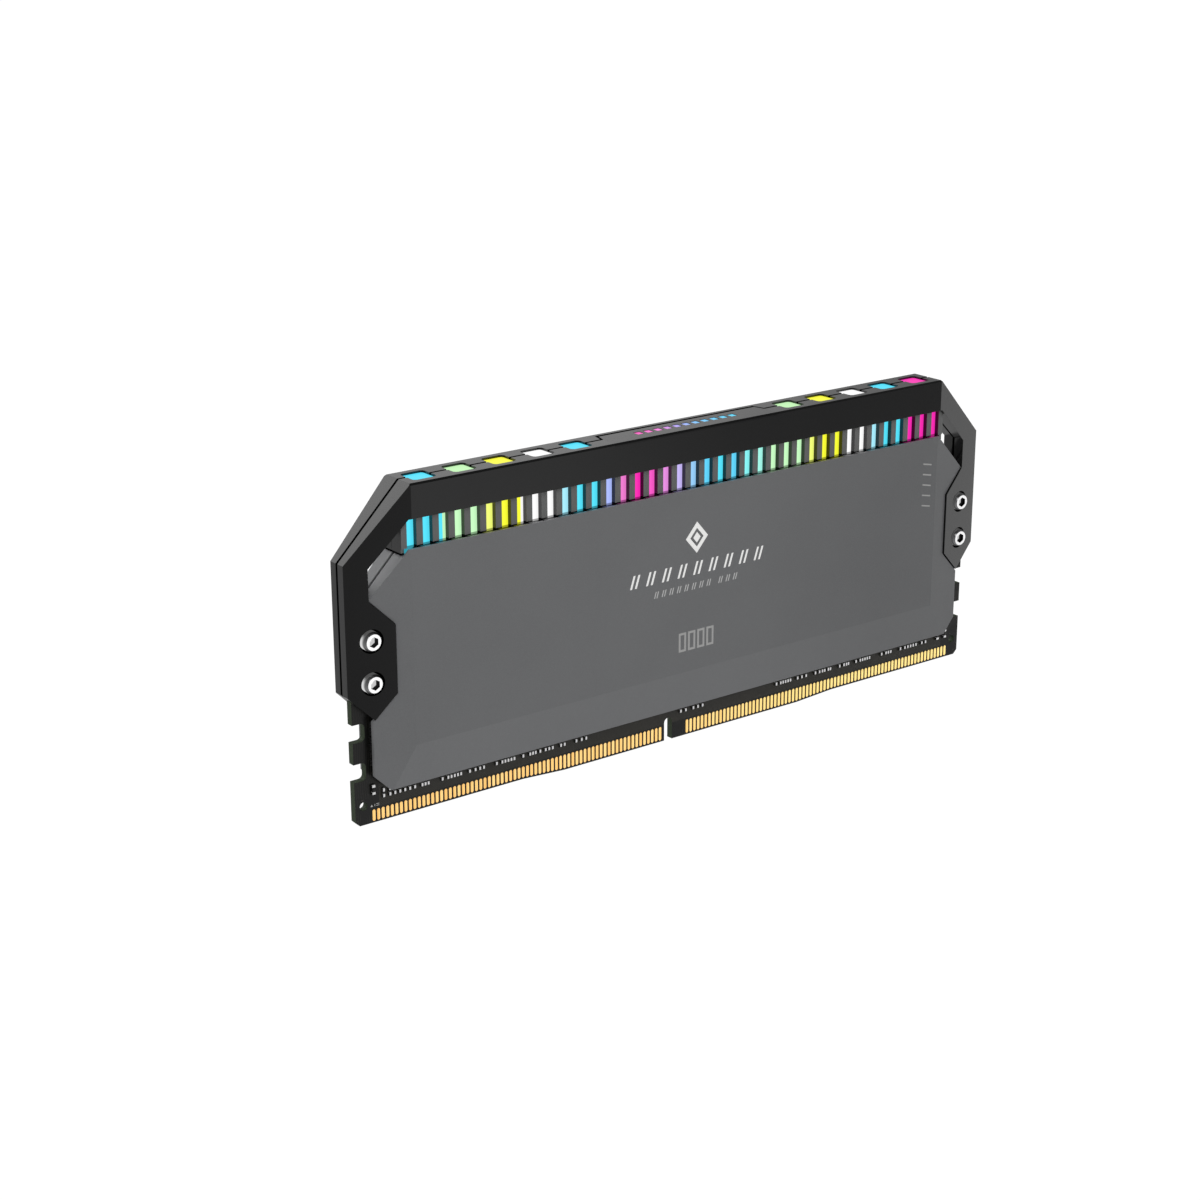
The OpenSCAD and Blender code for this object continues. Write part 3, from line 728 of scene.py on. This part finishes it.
# the marks on the spreader are laid out in mm for a top edge at this height
LAYOUT_TOP = 45.05
MARK_RISE = spreader_high.z / MM - LAYOUT_TOP


def print_piece(name, shapes, ink_key, face_y=SPREADER_FACE_Y,
                rise=MARK_RISE):
    """Flat ink shapes on a front face, each a list of (x, z) corners in mm."""
    bm = bmesh.new()
    for corners in shapes:
        bm.faces.new([bm.verts.new((x * MM, face_y - INK_PROUD, (z + rise) * MM))
                      for x, z in corners])
    made = bmesh.ops.extrude_face_region(bm, geom=list(bm.faces))["geom"]
    bmesh.ops.translate(bm, verts=[v for v in made if isinstance(v, bmesh.types.BMVert)],
                        vec=(0, INK_THICKNESS, 0))
    bmesh.ops.recalc_face_normals(bm, faces=bm.faces)
    mark = add_mesh(name, bm, MATERIALS[ink_key])
    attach(mark, "root")


def block(x0, x1, z0, z1, lean=0.0):
    """Upright rectangle, its top shifted right by lean."""
    return [(x0, z0), (x1, z0), (x1 + lean, z1), (x0 + lean, z1)]


def open_frame(x0, x1, z0, z1, width):
    return [block(x0, x1, z1 - width, z1), block(x0, x1, z0, z0 + width),
            block(x0, x0 + width, z0 + width, z1 - width),
            block(x1 - width, x1, z0 + width, z1 - width)]


def diamond():
    """Diamond outline around a small solid diamond."""
    centre_x, centre_z, half_width, half_height = 0.2, 36.5, 2.4, 2.75
    hole_scale, core_scale = 0.6, 0.34

    def corners(scale):
        points = [(-half_width, 0), (0, half_height), (half_width, 0), (0, -half_height)]
        return [(centre_x + x * scale, centre_z + z * scale) for x, z in points]

    outer = corners(1)
    inner = corners(hole_scale)
    sides = [[outer[i], outer[(i + 1) % 4], inner[(i + 1) % 4], inner[i]] for i in range(4)]
    return sides + [corners(core_scale)]


def stroke_pairs(starts, gap, z0, z1, width, lean):
    return [block(x, x + width, z0, z1, lean) for start in starts for x in (start, start + gap)]


def open_bars():
    left, pitch, width = -3.55, 2.02, 1.6
    shapes = []
    for i in range(4):
        x0 = left + i * pitch
        shapes += open_frame(x0, x0 + width, 16.65, 20.05, width=0.4)
    return shapes


def side_ticks():
    """Five short ticks near the right end, falling to the right."""
    x0, x1, top, pitch, drop, thickness = 53.1, 55.2, 40.6, 1.95, 0.45, 0.25
    return [[(x0, z), (x1, z - drop), (x1, z - drop - thickness), (x0, z - thickness)]
            for z in (top - i * pitch for i in range(5))]


def silk_shapes():
    """Triangle, upright and two level dashes at the lower left of the board."""
    low, high, line = 3.25, 3.62, 0.09
    return [[(-63.85, low), (-63.4, low), (-63.62, high)],
            block(-63.1, -63.0, low, high),
            block(-62.75, -62.25, low, low + line),
            block(-62.75, -62.25, high - line, high)]


row_starts = [-14.05 + i * 3.37 for i in range(9)]
# the last three pairs of the fine row stand apart by one more millimetre
fine_starts = [-8.95 + i * 1.62 + (1.0 if i > 7 else 0) for i in range(11)]
print_piece("print_diamond", diamond(), "ink_light")
print_piece("print_stroke_row",
            stroke_pairs(row_starts, gap=1.0, z0=29.95, z1=32.25, width=0.42, lean=0.75),
            "ink_light")
print_piece("print_fine_row",
            stroke_pairs(fine_starts, gap=0.5, z0=27.4, z1=28.55, width=0.2, lean=0.35),
            "ink_mid")
print_piece("print_open_bars", open_bars(), "ink_dim")
print_piece("print_side_ticks", side_ticks(), "ink_dim")
print_piece("silk_marks", silk_shapes(), "ink_mid",
            face_y=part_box("pcb")[0].y, rise=0.0)


# ---------------------------------------------------------------- solder joints
def terminal_boxes():
    """(x0, x1, y0, y1, z0, z1) of each terminal, front side first, then by x and z."""
    bm = bmesh.new()
    bm.from_mesh(NODES["chip_part_terminals"].data)
    bmesh.ops.remove_doubles(bm, verts=bm.verts, dist=1e-6)
    seen, boxes = set(), []
    for first in bm.verts:
        if first.index in seen:
            continue
        stack, points = [first], []
        seen.add(first.index)
        while stack:
            vertex = stack.pop()
            points.append(vertex.co.copy())
            for edge in vertex.link_edges:
                other = edge.other_vert(vertex)
                if other.index not in seen:
                    seen.add(other.index)
                    stack.append(other)
        boxes.append(tuple(pick(point[axis] for point in points)
                           for axis in range(3) for pick in (min, max)))
    bm.free()
    boxes.sort(key=lambda box: (box[2] > 0, round(box[0], 6), box[4]))
    return boxes


def solder_joints():
    """Small wedges of solder on the board at both ends of every two-terminal part."""
    reach, overhang = 0.17 * MM, 0.02 * MM
    climb = 0.62  # share of the terminal's height
    bend_reach, bend_climb = 0.55, 0.3  # middle point of the slope
    bm = bmesh.new()
    for i, (x0, x1, y0, y1, z0, z1) in enumerate(terminal_boxes()):
        # terminals alternate between the lower and the upper end of a part
        end_z, out = (z0, -reach) if i % 2 == 0 else (z1, reach)
        wall, side = (y0, 1) if y0 > 0 else (y1, -1)
        height = side * abs(y1 - y0) * climb
        profile = [(wall, end_z + out), (wall + height * bend_climb, end_z + out * bend_reach),
                   (wall + height, end_z), (wall, end_z)]
        left, right = [[bm.verts.new((x, y, z)) for y, z in profile]
                       for x in (x0 - overhang, x1 + overhang)]
        bm.faces.new(left)
        bm.faces.new(right)
        for k in range(4):
            after = (k + 1) % 4
            bm.faces.new((left[k], left[after], right[after], right[k]))
    bmesh.ops.recalc_face_normals(bm, faces=bm.faces)
    joints = add_mesh("solder_joints", bm, MATERIALS["solder"])
    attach(joints, "root")


solder_joints()


# ---------------------------------------------------------------- floor
def floor_white():
    """Bright from above, clear from below."""
    mat = Material("floor_white")
    color = mat.mix(mat.noise(scale=3), grey(0.10), grey(0.12))
    diffuse = mat.add("BsdfDiffuse", {0: color})
    glow = mat.add("Emission", {"Strength": 1.0})
    bright = mat.add("AddShader", {0: diffuse.outputs[0], 1: glow.outputs[0]})
    clear = mat.add("BsdfTransparent")
    below = mat.add("NewGeometry").outputs["Backfacing"]
    pick = mat.add("MixShader", {0: below, 1: bright.outputs[0], 2: clear.outputs[0]})
    mat.feed(mat.output.inputs[0], pick.outputs[0])
    return mat.material


def build_floor():
    half_size, height = 6.0, -0.02 * MM
    bm = bmesh.new()
    bm.faces.new([bm.verts.new((x * half_size, y * half_size, height))
                  for x, y in ((-1, -1), (1, -1), (1, 1), (-1, 1))])
    floor = add_mesh("floor", bm, floor_white())
    floor.visible_diffuse = False
    floor.visible_glossy = False
    floor.visible_shadow = False


build_floor()

# ---------------------------------------------------------------- light
# soft panels: direction, angle where it is full, angle where it ends (degrees), strength
PANELS = [
    ((0, 0, -1), 0, 180, 0.385),
    ((0, 1, 0), 0, 180, 0.230),
    ((0.904, -0.336, -0.265), 12, 15, 1.054),
    ((0.41, 0.879, 0.242), 8, 22, 0.435),
    ((-0.25, 0.83, 0.47), 10, 30, 1.742),
    ((-0.49, 0.83, -0.27), 10, 30, 0.098),
    ((0.446, -0.839, -0.31), 4, 14, 0.451),
]


def build_world():
    """White backdrop for the camera, the panels for everything else."""
    world = bpy.data.worlds.new("studio")
    bpy.context.scene.world = world
    world.use_nodes = True
    sky = Graph(world.node_tree, "OutputWorld")
    direction = sky.add("TexCoord").outputs["Generated"]
    total = None
    for i, (axis, full, end, strength) in enumerate(PANELS):
        dot = sky.add("VectorMath", {0: direction, 1: Vector(axis).normalized()},
                      operation="DOT_PRODUCT")
        falloff = sky.add("MapRange", {"Value": dot.outputs["Value"],
                                       "From Min": math.cos(math.radians(end)),
                                       "From Max": math.cos(math.radians(full))},
                          interpolation_type="SMOOTHERSTEP" if end < 180 else "LINEAR")
        panel = sky.add("Math", {0: falloff.outputs["Result"], 1: strength},
                        operation="MULTIPLY", name="panel_%02d" % i)
        light = Signal(sky, panel.outputs[0])
        total = light if total is None else total + light
    backdrop = sky.add("Background", {"Color": grey(1), "Strength": 1.0})
    panels = sky.add("Background", {"Color": grey(1), "Strength": total})
    camera_ray = sky.add("LightPath").outputs["Is Camera Ray"]
    pick = sky.add("MixShader", {0: camera_ray, 1: panels.outputs[0], 2: backdrop.outputs[0]})
    sky.feed(sky.output.inputs[0], pick.outputs[0])


def area_light(name, location, target, size, power):
    light = bpy.data.lights.new(name, "AREA")
    light.shape = "RECTANGLE"
    light.size = size
    light.size_y = size
    light.energy = power
    lamp = bpy.data.objects.new(name, light)
    lamp.location = location
    aim = Vector(target) - Vector(location)
    lamp.rotation_euler = aim.to_track_quat("-Z", "Y").to_euler()
    lamp.visible_camera = False
    bpy.context.scene.collection.objects.link(lamp)


build_world()
area_light("key_left", location=(-0.42, -0.6, 0.55), target=(0, 0, 0.03), size=0.5, power=1.5)


# ---------------------------------------------------------------- camera
def build_camera():
    """Camera at the front left, above the module and looking down at it."""
    location = (-0.237282, -0.289989, 0.149626)
    yaw, pitch, roll = (math.radians(angle) for angle in (-37.112, 18.466, -0.157))
    lens = bpy.data.cameras.new("camera")
    lens.sensor_width = 36.0
    lens.lens = 69.315
    lens.clip_start = 0.01
    lens.clip_end = 50
    back = Vector((math.sin(yaw) * math.cos(pitch), -math.cos(yaw) * math.cos(pitch),
                   math.sin(pitch)))
    level_right = (-back).cross(Vector((0, 0, 1))).normalized()
    level_up = level_right.cross(-back)
    right = level_right * math.cos(roll) + level_up * math.sin(roll)
    up = -level_right * math.sin(roll) + level_up * math.cos(roll)
    pose = Matrix((right, up, back)).transposed().to_4x4()
    pose.translation = Vector(location)
    camera = bpy.data.objects.new("camera", lens)
    camera.matrix_world = pose
    bpy.context.scene.collection.objects.link(camera)
    bpy.context.scene.camera = camera


build_camera()
bpy.context.scene.view_settings.view_transform = "Standard"
bpy.context.scene.view_settings.look = "None"
